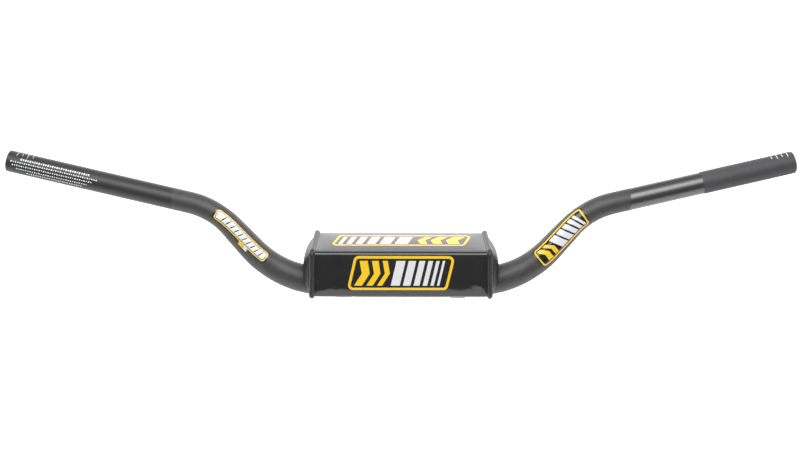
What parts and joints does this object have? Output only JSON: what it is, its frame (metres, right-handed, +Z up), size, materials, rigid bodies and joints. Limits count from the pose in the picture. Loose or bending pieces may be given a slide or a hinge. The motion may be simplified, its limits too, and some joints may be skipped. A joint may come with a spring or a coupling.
{
  "type": "motocross handlebar",
  "caption": "Wide aluminium handlebar without a crossbar, tapered from a thick clamp section to slim grip sections, with a square foam pad strapped over the middle.",
  "frame": {"origin": "middle of the clamp section, on the tube's axis", "axes": "+X along the bar to the clutch side, +Y back to the rider, +Z up"},
  "size_m": [0.8052, 0.1003, 0.1353],
  "materials": {
    "black_tube": "shot-peened and anodised black in the middle, smooth satin black outboard",
    "foam": "closed-cell foam, matt",
    "vinyl": "glossy black vinyl-coated fabric",
    "piping": "satin black vinyl welt",
    "loop_tape": "napped loop tape",
    "hook_tape": "woven tape with moulded hooks",
    "decal_film": "printed gloss film"
  },
  "bodies": {
    "root": {"handlebar_tube": "black_tube", "pad_foam": "foam", "pad_cover": "vinyl", "pad_end_left": "vinyl", "pad_end_right": "vinyl", "piping_left": "piping", "piping_right": "piping", "strap_loop_left": "loop_tape", "strap_loop_right": "loop_tape", "strap_hook_left": "hook_tape", "strap_hook_right": "hook_tape", "decal_left": "decal_film", "decal_right": "decal_film"}
  },
  "joints": []
}
